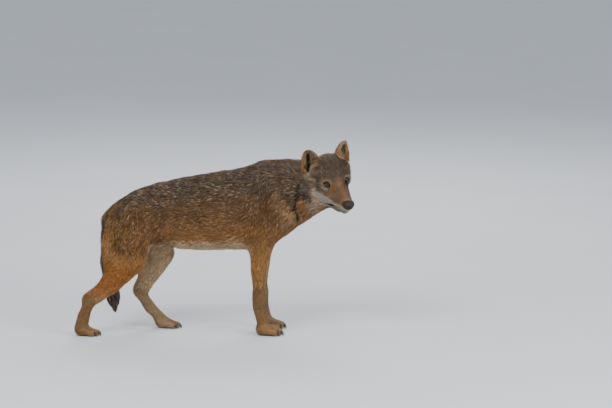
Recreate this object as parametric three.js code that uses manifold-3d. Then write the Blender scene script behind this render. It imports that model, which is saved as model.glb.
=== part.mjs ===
// A grey wolf, standing still in mid stride with its head turned to its right.
//
// Millimetres, +X towards the chest, +Y to the animal's left, +Z up. The floor is z = 0 and the
// origin lies on it, under the middle of the animal. The outlines are those of the coat's tips.
//
// The flesh is one smooth field: a barrel lofted through named stations, with round limbs and
// pads that melt into it. One closed net is drawn over the field and thinned out where it is
// nearly flat. Parting planes then cut it into the named pieces, with a thin gap between
// neighbours, and the eyes, nose, ears and tail are set into room made for them.

import * as THREE from "three";
import { mergeVertices } from "three/addons/utils/BufferGeometryUtils.js";
import Module from "manifold-3d";

const wasm = await Module();
wasm.setup();

// ---------------------------------------------------------------- driving dimensions

const GAP = 0.3; // between two pieces that touch
const FRAME_SHIFT = [-6, 47, 0]; // puts the origin under the middle of the whole animal

// The barrel of the body, from the rump to the base of the neck: place along x, height of the
// back, height of the underside, half width.
const BARREL = [
  [-426, 488, 456, 14],
  [-404, 512, 430, 46],
  [-362, 543, 405, 76],
  [-300, 576, 388, 92],
  [-215, 607, 362, 94],
  [-126, 624, 338, 96],
  [-30, 643, 334, 106],
  [70, 657, 335, 112],
  [150, 671, 340, 110],
  [215, 686, 346, 104],
  [270, 684, 378, 96],
  [320, 676, 424, 80],
  [350, 660, 470, 60],
];
const BARREL_SQUARENESS = 2.25; // 2 is an ellipse

const FORE_Y = 69; // half the distance between the forelegs
const LEG_TOP = 324; // the level at which the legs part from the trunk
const PAD_HEIGHT = 24;
const SUNK = 3; // pads and toes reach this far below the floor, which cuts them flat
const CLAW = { radius: 4.2, length: 22, droop: 0.42, height: 13 };

// How widely neighbouring shapes melt into each other.
const MELT = {
  paw: 7,
  foreleg: 16,
  hindleg: 20,
  tail: 20,
  head: 17,
  neck: 40,
  neckToTrunk: 46,
  legToTrunk: 26,
  headToNeck: 34,
};

const HEAD_AT = [496, -135, 633]; // the point between the eyes
const HEAD_YAW = -63; // degrees, to the animal's right
const HEAD_PITCH = 21; // muzzle down
const HEAD_ROLL = 7; // left side up

const EYE_RADIUS = 12.5;
const EYE_AT = [5, 43.5, 0]; // in the head's frame, left eye
const NOSE = { at: [116, 0, -40], radii: [20, 22.5, 19] };
const MOUTH = { at: [90, 0, -94], size: [130, 110, 40], tilt: 0.07 };
const EAR = { length: 98, thick: 7, wrapFoot: 1.75, wrapTip: 0.9, back: 8 };
const EAR_SET = {
  right: { width: 86, out: 0.5, lean: 0.36, foot: [-74, 68, 20] },
  left: { width: 79, out: 0.3, lean: 0.26, foot: [-74, 60, 29] },
};

// The net over the flesh: its cell, its box, how far thinning may move the surface of a large
// and a small piece, how far it may turn a face (as a cosine) and how slim it may leave one.
const CELL = 13;
const FLESH_BOX = [
  [-600, -280, -30],
  [640, 160, 760],
];
const TAIL_BOX = [
  [-470, -60, 50],
  [-330, 60, 560],
];
const SLACK = { large: 3.4, small: 1.3 };
const LEAST_COSINE = 0.5;
const LEAST_SLIMNESS = 0.12;

// ---------------------------------------------------------------- fields

const V = (x, y, z) => new THREE.Vector3(x, y, z);
const mirrored = ([x, y, z], side) => [x, y * side, z];
const clamp01 = (t) => Math.min(1, Math.max(0, t));

// A limb from a to b whose radius runs from ra to rb.
function limb(a, ra, b, rb) {
  const [ax, ay, az] = a;
  const d = [b[0] - ax, b[1] - ay, b[2] - az];
  const long = d[0] ** 2 + d[1] ** 2 + d[2] ** 2;
  return (x, y, z) => {
    const t = clamp01(((x - ax) * d[0] + (y - ay) * d[1] + (z - az) * d[2]) / long);
    const near = Math.hypot(x - ax - t * d[0], y - ay - t * d[1], z - az - t * d[2]);
    return near - ra - t * (rb - ra);
  };
}

// An ellipsoid pad with its own three radii.
function pad([cx, cy, cz], [rx, ry, rz]) {
  return (x, y, z) => {
    const u = (x - cx) / rx;
    const v = (y - cy) / ry;
    const w = (z - cz) / rz;
    const k = Math.hypot(u, v, w);
    return (k * (k - 1)) / Math.max(1e-6, Math.hypot(u / rx, v / ry, w / rz));
  };
}

// Limbs end to end: points are [x, y, z, radius].
function chain(points) {
  return points
    .slice(1)
    .map((q, i) => limb(points[i].slice(0, 3), points[i][3], q.slice(0, 3), q[3]));
}

// Fields melted together over a width k.
function melt(fields, k) {
  return (x, y, z) => {
    let d = Infinity;
    for (const f of fields) {
      const e = f(x, y, z);
      const h = Math.max(0, k - Math.abs(d - e)) / k;
      d = Math.min(d, e) - (d === Infinity ? 0 : (h * h * k) / 4);
    }
    return d;
  };
}

// A field seen in another frame.
function placed(field, matrix) {
  const back = matrix.clone().invert();
  const p = V(0, 0, 0);
  return (x, y, z) => {
    p.set(x, y, z).applyMatrix4(back);
    return field(p.x, p.y, p.z);
  };
}

// A smooth curve through a table's rows, at x. Returns the row's other values.
function between(table, x) {
  const n = table.length;
  let i = 0;
  while (i < n - 2 && x > table[i + 1][0]) i += 1;
  const t = clamp01((x - table[i][0]) / (table[i + 1][0] - table[i][0]));
  const at = (j) => table[Math.min(n - 1, Math.max(0, j))];
  return at(i).slice(1).map((_, c) => {
    const [p, q, r, s] = [i - 1, i, i + 1, i + 2].map((j) => at(j));
    const m = (a, b) => (b[c + 1] - a[c + 1]) / (b[0] - a[0] || 1);
    const span = r[0] - q[0];
    const [mq, mr] = [m(p, r) * span, m(q, s) * span];
    const [t2, t3] = [t * t, t * t * t];
    return (
      (2 * t3 - 3 * t2 + 1) * q[c + 1] +
      (t3 - 2 * t2 + t) * mq +
      (3 * t2 - 2 * t3) * r[c + 1] +
      (t3 - t2) * mr
    );
  });
}

function barrel(x, y, z) {
  const [top, bottom, half] = between(BARREL, x);
  const tall = (top - bottom) / 2;
  const u = Math.abs(y) / half;
  const v = Math.abs(z - (top + bottom) / 2) / tall;
  const r = (u ** BARREL_SQUARENESS + v ** BARREL_SQUARENESS) ** (1 / BARREL_SQUARENESS);
  const across = (r - 1) * Math.min(half, tall);
  const past = Math.max(BARREL[0][0] - x, x - BARREL.at(-1)[0], 0);
  return Math.hypot(Math.max(across, 0), past) + Math.min(across, 0);
}

// ---------------------------------------------------------------- the animal's parts as fields

// A paw: four toes before a pad.
function paw([x, y], { long, wide }) {
  const tip = wide * 0.185;
  const toe = (side, ahead, out) =>
    limb(
      [x, y + side * out * 0.55, tip + 10],
      wide * 0.23,
      [x + ahead, y + side * out, tip - SUNK],
      tip,
    );
  return melt(
    [
      pad([x - long * 0.06, y, PAD_HEIGHT - SUNK], [long * 0.36, wide * 0.43, PAD_HEIGHT]),
      toe(-1, long * 0.53, wide * 0.17),
      toe(1, long * 0.53, wide * 0.17),
      toe(-1, long * 0.36, wide * 0.36),
      toe(1, long * 0.36, wide * 0.36),
    ],
    MELT.paw,
  );
}

const FORE_PAW_X = 214;
const FORE_AHEAD = { right: 0, left: 10 }; // how far each foreleg stands ahead
const FORE_PAW = { long: 102, wide: 82 };
const HIND_PAW = { long: 94, wide: 72 };

function foreleg(name) {
  const side = name === "left" ? 1 : -1;
  const forward = FORE_AHEAD[name];
  const y = FORE_Y * side;
  const at = (x, dy, z, r) => [x + forward, y + dy * side, z, r];
  const shoulder = chain([
    [205, 58 * side, 610, 46],
    at(262, 6, 478, 54),
    at(205, 5, 392, 49),
    at(192, 0, 350, 43),
  ]);
  const forearm = chain([
    at(193, 0, 360, 44),
    at(187, 0, 262, 30),
    at(187, 0, 160, 25),
    at(188, 0, 138, 26.5),
    at(193, 0, 88, 22.5),
    at(203, 0, 44, 25),
  ]);
  const elbow = pad([168 + forward, y, 368], [26, 26, 34]);
  const wristPad = pad([166 + forward, y, 112], [8, 9, 12]);
  const foot = paw([FORE_PAW_X + forward, y], FORE_PAW);
  return [...shoulder, ...forearm, elbow, wristPad, foot];
}

// The right hind leg pushes off behind, the left one is set forward under the belly.
const HIND = {
  right: {
    thigh: [
      [-305, 48, 478, 78],
      [-318, 60, 385, 76],
      [-322, 70, 312, 57],
    ],
    ham: [
      [-383, 48, 440, 46],
      [-394, 60, 350, 47],
      [-388, 70, 262, 44],
    ],
    shank: [
      [-318, 72, 300, 52],
      [-398, 76, 214, 40],
      [-450, 78, 172, 31],
      [-484, 78, 148, 28],
    ],
    heel: [-502, 78, 153],
    foot: [
      [-488, 78, 142, 26],
      [-512, 78, 80, 23],
      [-524, 78, 42, 25],
    ],
    paw: [-512, 78],
  },
  left: {
    thigh: [
      [-290, 48, 478, 78],
      [-262, 60, 400, 78],
      [-212, 72, 322, 56],
    ],
    ham: [
      [-370, 48, 440, 46],
      [-348, 58, 360, 46],
      [-290, 70, 262, 34],
    ],
    shank: [
      [-206, 74, 304, 52],
      [-244, 76, 236, 38],
      [-274, 76, 186, 31],
      [-292, 76, 152, 27],
    ],
    heel: [-310, 76, 160],
    foot: [
      [-290, 76, 142, 25],
      [-260, 76, 92, 22],
      [-217, 76, 44, 24],
    ],
    paw: [-194, 76],
  },
};

function hindleg(name) {
  const side = name === "left" ? 1 : -1;
  const leg = HIND[name];
  const on = (points) => points.map(([x, y, z, r]) => [x, y * side, z, r]);
  return [
    ...chain(on(leg.thigh)),
    ...chain(on(leg.ham)),
    ...chain(on(leg.shank)),
    ...chain(on(leg.foot)),
    pad(mirrored(leg.heel, side), [17, 15, 20]),
    paw([leg.paw[0], leg.paw[1] * side], HIND_PAW),
  ];
}

const NECK = [
  ...chain([
    [225, 0, 606, 78],
    [330, -4, 612, 74],
    [400, -24, 622, 70],
    [446, -66, 640, 62],
  ]),
  ...chain([
    [262, 0, 500, 88],
    [330, -22, 528, 76],
    [398, -72, 560, 62],
    [446, -128, 580, 48],
  ]),
];

// The head, in its own frame: +X along the muzzle, +Y to its left, +Z up, from between the eyes.
function headField() {
  const both = (make) => [-1, 1].map(make);
  const skull = [
    pad([-74, 0, 18], [74, 62, 64]),
    pad([-18, 0, 8], [44, 40, 31]),
    pad([-58, 0, -34], [62, 62, 48]),
    ...both((s) => pad([-62, s * 46, 24], [42, 34, 36])),
    ...both((s) => pad([-17, s * 35, 15], [22, 19, 17])),
    ...both((s) => pad([-48, s * 58, 22], [32, 22, 30])),
    ...both((s) => pad([-43, s * 54, -18], [42, 28, 38])),
    ...both((s) => pad([4, s * 34, -31], [32, 19, 17])),
    ...both((s) => pad([-86, s * 66, -42], [38, 34, 48])),
  ];
  const muzzle = chain([
    [4, 0, -26, 38],
    [48, 0, -33, 32],
    [104, 0, -40, 25],
  ]);
  const lips = both((s) => limb([22, s * 26, -56], 22, [100, s * 11, -55], 17));
  const jaw = chain([
    [-20, 0, -84, 37],
    [40, 0, -90, 21],
    [92, 0, -82, 14],
  ]);
  return melt([...skull, ...muzzle, ...lips, ...jaw], MELT.head);
}

const deg = THREE.MathUtils.degToRad;
const HEAD_FRAME = new THREE.Matrix4()
  .makeTranslation(...HEAD_AT)
  .multiply(new THREE.Matrix4().makeRotationZ(deg(HEAD_YAW)))
  .multiply(new THREE.Matrix4().makeRotationY(deg(HEAD_PITCH)))
  .multiply(new THREE.Matrix4().makeRotationX(deg(HEAD_ROLL)));

const trunkField = melt([barrel, melt(NECK, MELT.neck)], MELT.neckToTrunk);
const legFields = ["right", "left"].flatMap((name) => [
  melt(foreleg(name), MELT.foreleg),
  melt(hindleg(name), MELT.hindleg),
]);
const skullField = placed(headField(), HEAD_FRAME);
const standing = melt([trunkField, ...legFields], MELT.legToTrunk);
const FLESH = melt([standing, skullField], MELT.headToNeck);

const TAIL = [
  [-372, 0, 490, 26],
  [-409, 0, 456, 34],
  [-414, 0, 370, 33],
  [-411, 0, 285, 35],
  [-405, 0, 205, 32],
  [-397, 0, 134, 24],
  [-390, 0, 82, 9],
];
const tailField = melt(chain(TAIL), MELT.tail);

// ---------------------------------------------------------------- the net over a field

// A closed net over the zero surface of a field, between the corners low and high. Each cell that
// the surface crosses holds one point, which is then drawn onto the surface.
function net(field, low, high, cell) {
  const n = low.map((a, i) => Math.ceil((high[i] - a) / cell) + 1);
  const at = (i, axis) => low[axis] + i * cell;
  const step = [1, n[0], n[0] * n[1]];
  const index = (i, j, k) => i * step[0] + j * step[1] + k * step[2];
  const value = new Float64Array(n[0] * n[1] * n[2]);
  const eachCell = (first, visit) => {
    for (let k = first; k < n[2] - 1; k += 1)
      for (let j = first; j < n[1] - 1; j += 1)
        for (let i = first; i < n[0] - 1; i += 1) visit(i, j, k);
  };
  for (let v = 0; v < value.length; v += 1) {
    const [i, j, k] = [v % n[0], Math.floor(v / n[0]) % n[1], Math.floor(v / step[2])];
    value[v] = field(at(i, 0), at(j, 1), at(k, 2)) || 1e-9;
  }

  const corners = [0, 1, 2, 3, 4, 5, 6, 7].map((c) => [c & 1, (c >> 1) & 1, (c >> 2) & 1]);
  const edges = corners.flatMap((_, c) => [1, 2, 4].filter((b) => !(c & b)).map((b) => [c, c | b]));
  const points = [];
  const pointOf = new Map();
  eachCell(0, (i, j, k) => {
    const f = corners.map(([a, b, c]) => value[index(i + a, j + b, k + c)]);
    const crossed = edges.filter(([p, q]) => f[p] < 0 !== f[q] < 0);
    if (!crossed.length) return;
    const middle = V(0, 0, 0);
    for (const [p, q] of crossed) {
      const t = f[p] / (f[p] - f[q]);
      const mix = [0, 1, 2].map((a) => corners[p][a] + t * (corners[q][a] - corners[p][a]));
      middle.add(V(at(i + mix[0], 0), at(j + mix[1], 1), at(k + mix[2], 2)));
    }
    pointOf.set(index(i, j, k), points.length);
    points.push(onto(field, middle.divideScalar(crossed.length), cell));
  });

  const triangles = [];
  const quad = (a, b, c, d) => {
    const [pa, pb, pc, pd] = [a, b, c, d].map((q) => points[q]);
    if (pa.distanceTo(pc) < pb.distanceTo(pd)) triangles.push([a, b, c], [a, c, d]);
    else triangles.push([a, b, d], [b, c, d]);
  };
  eachCell(1, (i, j, k) => {
    const here = index(i, j, k);
    const inside = value[here] < 0;
    step.forEach((ahead, axis) => {
      if (inside === value[here + ahead] < 0) return;
      const [u, v] = [step[(axis + 1) % 3], step[(axis + 2) % 3]];
      const ring = [here - u - v, here - v, here, here - u].map((c) => pointOf.get(c));
      quad(...(inside ? ring : ring.reverse()));
    });
  });
  return { points, triangles };
}

// Moves a point along the field's slope onto its zero surface, by less than a cell.
function onto(field, point, cell) {
  const h = 0.5;
  const start = point.clone();
  for (let step = 0; step < 4; step += 1) {
    const { x, y, z } = point;
    const f = field(x, y, z);
    const slope = V(
      field(x + h, y, z) - field(x - h, y, z),
      field(x, y + h, z) - field(x, y - h, z),
      field(x, y, z + h) - field(x, y, z - h),
    ).divideScalar(2 * h);
    point.addScaledVector(slope, -f / Math.max(0.2, slope.lengthSq()));
    const moved = point.clone().sub(start).clampLength(0, 0.6 * cell);
    point.copy(start).add(moved);
  }
  return point;
}

// Thins a net out: one end of an edge is drawn to the other wherever that moves the surface by
// less than `slack`, turns no face over, and leaves the flats where pieces part as they are.
function thinned({ points, triangles }, slack, flats = []) {
  const faces = triangles.map((t) => [...t]);
  const around = points.map(() => new Set());
  faces.forEach((face, f) => face.forEach((i) => around[i].add(f)));
  const facing = (face, at = (i) => points[i]) => {
    const [a, b, c] = face.map(at);
    return V(0, 0, 0).crossVectors(V(0, 0, 0).subVectors(b, a), V(0, 0, 0).subVectors(c, a));
  };
  const slimness = (face, at = (i) => points[i]) => {
    const [a, b, c] = face.map(at);
    const longest = Math.max(a.distanceToSquared(b), b.distanceToSquared(c), c.distanceToSquared(a));
    return facing(face, at).length() / Math.max(longest, 1e-9);
  };
  const planes = points.map((p, i) =>
    [...around[i]].map((f) => {
      const out = facing(faces[f]).normalize();
      return { out, level: out.dot(p) };
    }),
  );
  const beside = (i) => new Set([...around[i]].flatMap((f) => faces[f]).filter((j) => j !== i));

  const isOn = (flat, p) => Math.abs(flat.facing.dot(p) - flat.facing.dot(flat.at)) < GAP;
  const flatsAt = points.map((p) => flats.filter((flat) => isOn(flat, p)));

  const canMove = (from, to) => {
    const p = points[to];
    if (!flatsAt[from].every((flat) => flatsAt[to].includes(flat))) return false;
    if (planes[from].some(({ out, level }) => Math.abs(out.dot(p) - level) > slack)) return false;
    const near = beside(to);
    if ([...beside(from)].filter((j) => near.has(j)).length !== 2) return false;
    return [...around[from]].every((f) => {
      if (faces[f].includes(to)) return true;
      const moved = (i) => (i === from ? p : points[i]);
      const [before, after] = [facing(faces[f]), facing(faces[f], moved)];
      const turned = after.dot(before) / (after.length() * before.length());
      const slimEnough = Math.min(LEAST_SLIMNESS, 0.7 * slimness(faces[f]));
      return turned > LEAST_COSINE && slimness(faces[f], moved) > slimEnough;
    });
  };
  const move = (from, to) => {
    for (const f of around[from]) {
      if (faces[f].includes(to)) faces[f].forEach((i) => i !== from && around[i].delete(f));
      else {
        faces[f][faces[f].indexOf(from)] = to;
        around[to].add(f);
      }
    }
    around[from].clear();
    planes[to].push(...planes[from]);
  };

  for (let moved = 1; moved > 0; ) {
    moved = 0;
    const edges = around.flatMap((own, i) =>
      own.size ? [...beside(i)].map((j) => [i, j, points[i].distanceToSquared(points[j])]) : [],
    );
    edges.sort((e, f) => e[2] - f[2]);
    const touched = new Set();
    for (const [i, j] of edges) {
      if (touched.has(i) || touched.has(j) || !canMove(i, j)) continue;
      beside(i).forEach((b) => touched.add(b));
      move(i, j);
      moved += 1;
    }
  }

  const kept = new Map();
  const left = faces.filter((face, f) => around[face[0]].has(f) && around[face[1]].has(f));
  const place = (i) => {
    if (!kept.has(i)) kept.set(i, kept.size);
    return kept.get(i);
  };
  const trimmed = left.map((face) => face.map(place));
  return { points: [...kept.keys()].map((i) => points[i]), triangles: trimmed };
}

// ---------------------------------------------------------------- solids: joined and cut

const solidOf = ({ points, triangles }) =>
  new wasm.Manifold(
    new wasm.Mesh({
      numProp: 3,
      vertProperties: Float32Array.from(points.flatMap((p) => p.toArray())),
      triVerts: Uint32Array.from(triangles.flat()),
    }),
  );

// A solid's net, with its vertices as points.
function netOf(solid) {
  const { vertProperties, triVerts, numProp } = solid.getMesh();
  const points = [];
  for (let i = 0; i < vertProperties.length; i += numProp)
    points.push(V(...vertProperties.subarray(i, i + 3)));
  const triangles = [];
  for (let t = 0; t < triVerts.length; t += 3) triangles.push([...triVerts.subarray(t, t + 3)]);
  return { points, triangles };
}

const bare = (geometry) => {
  const g = geometry.index ? geometry.toNonIndexed() : geometry;
  const places = new THREE.BufferGeometry().setAttribute("position", g.getAttribute("position"));
  return mergeVertices(places, 1e-3);
};

function solidOfGeometry(geometry) {
  const merged = bare(geometry);
  return new wasm.Manifold(
    new wasm.Mesh({
      numProp: 3,
      vertProperties: merged.getAttribute("position").array,
      triVerts: new Uint32Array(merged.index.array),
    }),
  );
}

// The room that a shape needs in its neighbour: the shape with every face moved out by the gap.
function roomFor(geometry) {
  const shape = bare(geometry);
  const at = shape.getAttribute("position");
  const corner = (i) => V(0, 0, 0).fromBufferAttribute(at, i);
  const facings = Array.from({ length: at.count }, () => []);
  for (let t = 0; t < shape.index.count; t += 3) {
    const [a, b, c] = [0, 1, 2].map((i) => shape.index.getX(t + i));
    const facing = new THREE.Triangle(corner(a), corner(b), corner(c)).getNormal(V(0, 0, 0));
    [a, b, c].forEach((i) => facings[i].push(facing));
  }
  facings.forEach((around, i) => {
    const out = around.reduce((sum, f) => sum.add(f), V(0, 0, 0)).normalize();
    const lean = Math.max(0.4, Math.min(...around.map((f) => f.dot(out))));
    at.setXYZ(i, ...corner(i).addScaledVector(out, GAP / lean).toArray());
  });
  return solidOfGeometry(shape);
}

function geometryOf(solid) {
  const { points, triangles } = netOf(solid);
  return new THREE.BufferGeometry().setFromPoints(points).setIndex(triangles.flat());
}

// The body of a solid that holds the most; a cut can leave crumbs beside it.
const biggest = (solid) =>
  solid.decompose().reduce((best, body) => (body.volume() > best.volume() ? body : best));

const partings = [];

// Cuts a solid in two at a parting plane: what lies behind it, and what lies before it.
function halves(solid, flat) {
  const { at, facing } = flat;
  const level = at.dot(facing);
  partings.push(flat);
  return [
    solid.trimByPlane(facing.clone().negate().toArray(), -(level - GAP / 2)),
    solid.trimByPlane(facing.toArray(), level + GAP / 2),
  ];
}

// Cuts a solid along several parting planes into the pieces between them.
function part(solid, planes) {
  const pieces = [];
  let rest = solid;
  for (const flat of planes) {
    const [behind, before] = halves(rest, flat);
    pieces.push(behind);
    rest = before;
  }
  return [...pieces, rest].map(biggest);
}

const plane = (at, facing) => ({ at: V(...at), facing: V(...facing).normalize() });
const HEAD_PLANE = plane(V(-96, 0, 0).applyMatrix4(HEAD_FRAME).toArray(), [0.72, -0.69, 0]);

// ---------------------------------------------------------------- the pieces

const SIDES = { right: -1, left: 1 };
const solids = new Map();

const keep = (name, solid, slack) =>
  solids.set(name, solidOf(thinned(netOf(solid), slack, partings)));

// Tail: root, brush and dark tip. It hangs against the rump and the thighs.
const TIP_Z = 170;
const BRUSH_Z = 335;

function makeTail() {
  const whole = solidOf(thinned(net(tailField, ...TAIL_BOX, CELL), SLACK.large));
  const [tip, brush, root] = part(whole, [
    plane([0, 0, TIP_Z], [0, 0, 1]),
    plane([0, 0, BRUSH_Z], [0, 0, 1]),
  ]);
  solids.set("tail_tip", tip);
  solids.set("tail_brush", brush);
  solids.set("tail_root", root);
  return whole;
}

// Trunk: chest with the shoulders, barrel and hindquarters, cut off above the legs and behind
// the head. The thighs part from the hindquarters on a slant from the groin to the buttock.
const REAR_PLANE = plane([-160, 0, 0], [1, 0, 0]);
const CHEST_PLANE = plane([95, 0, 0], [1, 0, 0]);
const NECK_PLANE = plane([262, 0, 560], [0.9, -0.02, 0.44]);
const THIGH_PLANE = plane([-165, 0, LEG_TOP], [0.38, 0, 0.925]);
const MIDDLE_PLANE = plane([0, 0, 0], [0, 1, 0]);

function makeTrunk(above) {
  const [rear, middle, chest, neck, head] = part(above, [
    REAR_PLANE,
    CHEST_PLANE,
    NECK_PLANE,
    HEAD_PLANE,
  ]);
  const [lower, upper] = halves(rear, THIGH_PLANE);
  const [right, left] = part(lower, [MIDDLE_PLANE]);
  keep("hindquarters", biggest(upper), SLACK.large);
  keep("thigh_right", right, SLACK.large);
  keep("thigh_left", left, SLACK.large);
  keep("barrel", middle, SLACK.large);
  keep("chest", chest, SLACK.large);
  keep("neck", neck, SLACK.large);
  return head;
}

// Legs below the trunk: an upper length, a lower length, and a paw with a claw on each toe.
const WRIST_Z = 142;
const PAW_TOP = 52;

function clawsOn([x, y], { long, wide }) {
  const toes = [
    [0.62, 0.17],
    [0.45, 0.37],
  ];
  return [-1, 1].flatMap((s) =>
    toes.map(([ahead, out]) => {
      const claw = new THREE.ConeGeometry(CLAW.radius, CLAW.length, 6);
      claw.rotateZ(-Math.PI / 2 - CLAW.droop);
      claw.translate(x + ahead * long, y + s * out * wide, CLAW.height);
      return solidOfGeometry(claw);
    }),
  );
}

function makeLeg(leg, names, { joint, pawAt, size }) {
  const [above, below] = part(leg, [joint]);
  const [lower, paw] = part(below, [plane([0, 0, PAW_TOP], [0, 0, -1])]);
  keep(names[0], above, SLACK.large);
  keep(names[1], lower, SLACK.large);
  keep(names[2], paw, SLACK.small);
  const clawed = clawsOn(pawAt, size).reduce((all, claw) => all.add(claw), solids.get(names[2]));
  solids.set(names[2], clawed);
}

function makeLegs(low) {
  const legs = low.decompose();
  for (const [name, side] of Object.entries(SIDES)) {
    const { shank, foot, paw } = HIND[name];
    const isOwn = (x) => (solid) => {
      const { min, max } = solid.boundingBox();
      return (min[1] + max[1]) * side > 0 && min[0] < x && x < max[0];
    };
    const forePawX = FORE_PAW_X + FORE_AHEAD[name];
    makeLeg(legs.find(isOwn(forePawX)), [`forearm_${name}`, `pastern_${name}`, `forepaw_${name}`], {
      joint: plane([0, 0, WRIST_Z], [0, 0, -1]),
      pawAt: [forePawX, side * FORE_Y],
      size: FORE_PAW,
    });
    const [x, , z] = shank.at(-1);
    makeLeg(legs.find(isOwn(paw[0])), [`shank_${name}`, `hock_${name}`, `hindpaw_${name}`], {
      joint: plane([x, 0, z - 12], [foot.at(-1)[0] - x, 0, -130]),
      pawAt: [paw[0], side * paw[1]],
      size: HIND_PAW,
    });
  }
}

// What the tail hangs against is cut to it.
function makeRoomFor(tail) {
  const room = roomFor(geometryOf(tail));
  for (const name of ["hindquarters", "thigh_right", "thigh_left", "shank_right"])
    solids.set(name, biggest(solids.get(name).subtract(room)));
}

// Head: skull with the upper muzzle, lower jaw, nose, eyes and ears, all in the head's frame.
function ball([x, y, z], [rx, ry, rz], around) {
  const shape = new THREE.SphereGeometry(1, around, Math.round(around * 0.65));
  shape.scale(rx, ry, rz);
  shape.translate(x, y, z);
  return shape;
}

// An ear: a cone open to the front, wide round its foot and drawn out to a blunt point.
function earGeometry(side, { width, out, lean, foot }) {
  const { length, thick, wrapFoot, wrapTip, back } = EAR;
  const shape = new THREE.BoxGeometry(1, 1, 1, 9, 1, 7);
  const at = shape.getAttribute("position");
  for (let i = 0; i < at.count; i += 1) {
    const across = at.getX(i) * 2;
    const inner = at.getY(i) < 0;
    const up = at.getZ(i) + 0.5;
    const wrap = wrapFoot + (wrapTip - wrapFoot) * up;
    const half = (width / 2) * ((1 - up ** 2.6) ** 0.72 * 0.95 + 0.05);
    const round = half / Math.sin(Math.min(wrap, Math.PI / 2));
    const wall = (thick / 2) * (1 - 0.5 * across * across) * (inner ? -1 : 1);
    const turn = across * wrap;
    const axis = round - half - back * up * up;
    at.setXYZ(i, axis - (round + wall) * Math.cos(turn), (round + wall) * Math.sin(turn), up * length);
  }
  shape.rotateY(-0.1);
  shape.rotateZ(side * out);
  shape.rotateX(-side * lean);
  shape.translate(foot[0], side * foot[1], foot[2]);
  return shape;
}

function makeHead(piece) {
  const toHead = HEAD_FRAME.clone().invert();
  const thin = geometryOf(solidOf(thinned(netOf(piece), SLACK.small, partings)));
  let skull = solidOfGeometry(thin.applyMatrix4(toHead));
  const setIn = (name, geometry) => {
    const room = roomFor(geometry);
    skull = biggest(skull.subtract(room));
    solids.set(name, solidOfGeometry(geometry));
  };
  setIn("nose", ball(NOSE.at, NOSE.radii, 12));
  const mouth = new THREE.BoxGeometry(...MOUTH.size);
  mouth.rotateY(MOUTH.tilt);
  mouth.translate(...MOUTH.at);
  solids.set("lower_jaw", biggest(skull.intersect(solidOfGeometry(mouth))));
  skull = biggest(skull.subtract(roomFor(mouth)));
  for (const [name, side] of Object.entries(SIDES)) {
    setIn(`eye_${name}`, ball(mirrored(EYE_AT, side), [EYE_RADIUS, EYE_RADIUS, EYE_RADIUS], 12));
    const ear = earGeometry(side, EAR_SET[name]);
    setIn(`ear_${name}`, ear);
    const earInWorld = ear.clone().applyMatrix4(HEAD_FRAME);
    solids.set("neck", biggest(solids.get("neck").subtract(roomFor(earInWorld))));
  }
  solids.set("head", skull);
}

const FLOOR = plane([0, 0, 0], [0, 0, 1]);
partings.push(FLOOR);
const flesh = solidOf(net(FLESH, ...FLESH_BOX, CELL)).trimByPlane(FLOOR.facing.toArray(), 0);
const [low, above] = halves(flesh, plane([0, 0, LEG_TOP], [0, 0, 1]));
makeLegs(low);
const headPiece = makeTrunk(above);
makeRoomFor(makeTail());
makeHead(headPiece);

// ---------------------------------------------------------------- the model

const COLOURS = {
  coat: { color: 0x7d6349, roughness: 0.9 },
  legs: { color: 0x96693c, roughness: 0.9 },
  mask: { color: 0x6e5c4e, roughness: 0.9 },
  nose: { color: 0x2b2422, roughness: 0.45 },
  eye: { color: 0x6b4518, roughness: 0.1 },
};
const FINISH_OF = [
  [/^(thigh|shank|hock|hindpaw|forearm|pastern|forepaw)/, "legs"],
  [/^(head|lower_jaw|ear)/, "mask"],
  [/^nose/, "nose"],
  [/^eye/, "eye"],
  [/./, "coat"],
];
const IN_HEAD = /^(head|lower_jaw|nose|eye|ear)/;

const wolf = new THREE.Group();
wolf.name = "wolf";
wolf.position.set(...FRAME_SHIFT);
const head = new THREE.Group();
head.applyMatrix4(HEAD_FRAME);
wolf.add(head);
for (const [name, solid] of solids) {
  const finish = FINISH_OF.find(([pattern]) => pattern.test(name))[1];
  const material = new THREE.MeshStandardMaterial({ ...COLOURS[finish], metalness: 0 });
  const mesh = new THREE.Mesh(geometryOf(solid), material);
  mesh.name = name;
  (IN_HEAD.test(name) ? head : wolf).add(mesh);
}

export default wolf;
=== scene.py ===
# A grey wolf, standing still in mid stride with its head turned to its right, life size.
# One hide under a coat of small locks; eyes, nose, lids and claws are pieces of their own.

import math

import bmesh
import bpy
import numpy as np
from mathutils import Matrix, Vector
from mathutils.bvhtree import BVHTree


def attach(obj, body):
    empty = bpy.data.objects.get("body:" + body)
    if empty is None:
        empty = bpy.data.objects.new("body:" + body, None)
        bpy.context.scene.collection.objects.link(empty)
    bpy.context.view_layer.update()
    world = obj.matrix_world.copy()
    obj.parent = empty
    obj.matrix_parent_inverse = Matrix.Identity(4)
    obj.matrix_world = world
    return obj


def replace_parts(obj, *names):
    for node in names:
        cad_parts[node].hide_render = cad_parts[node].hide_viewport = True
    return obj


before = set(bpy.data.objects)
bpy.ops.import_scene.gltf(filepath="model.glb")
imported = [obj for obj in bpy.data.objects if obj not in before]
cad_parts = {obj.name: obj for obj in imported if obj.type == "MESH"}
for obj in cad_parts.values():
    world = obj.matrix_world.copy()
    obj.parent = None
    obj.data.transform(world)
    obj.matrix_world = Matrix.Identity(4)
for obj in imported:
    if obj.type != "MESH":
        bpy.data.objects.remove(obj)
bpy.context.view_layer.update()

# ---------------------------------------------------------------- where the animal stands
# The animal's own middle line, and its turned and lowered head. A head point is measured from
# between the eyes: +X along the muzzle, +Y to the head's left, +Z up.

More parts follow.
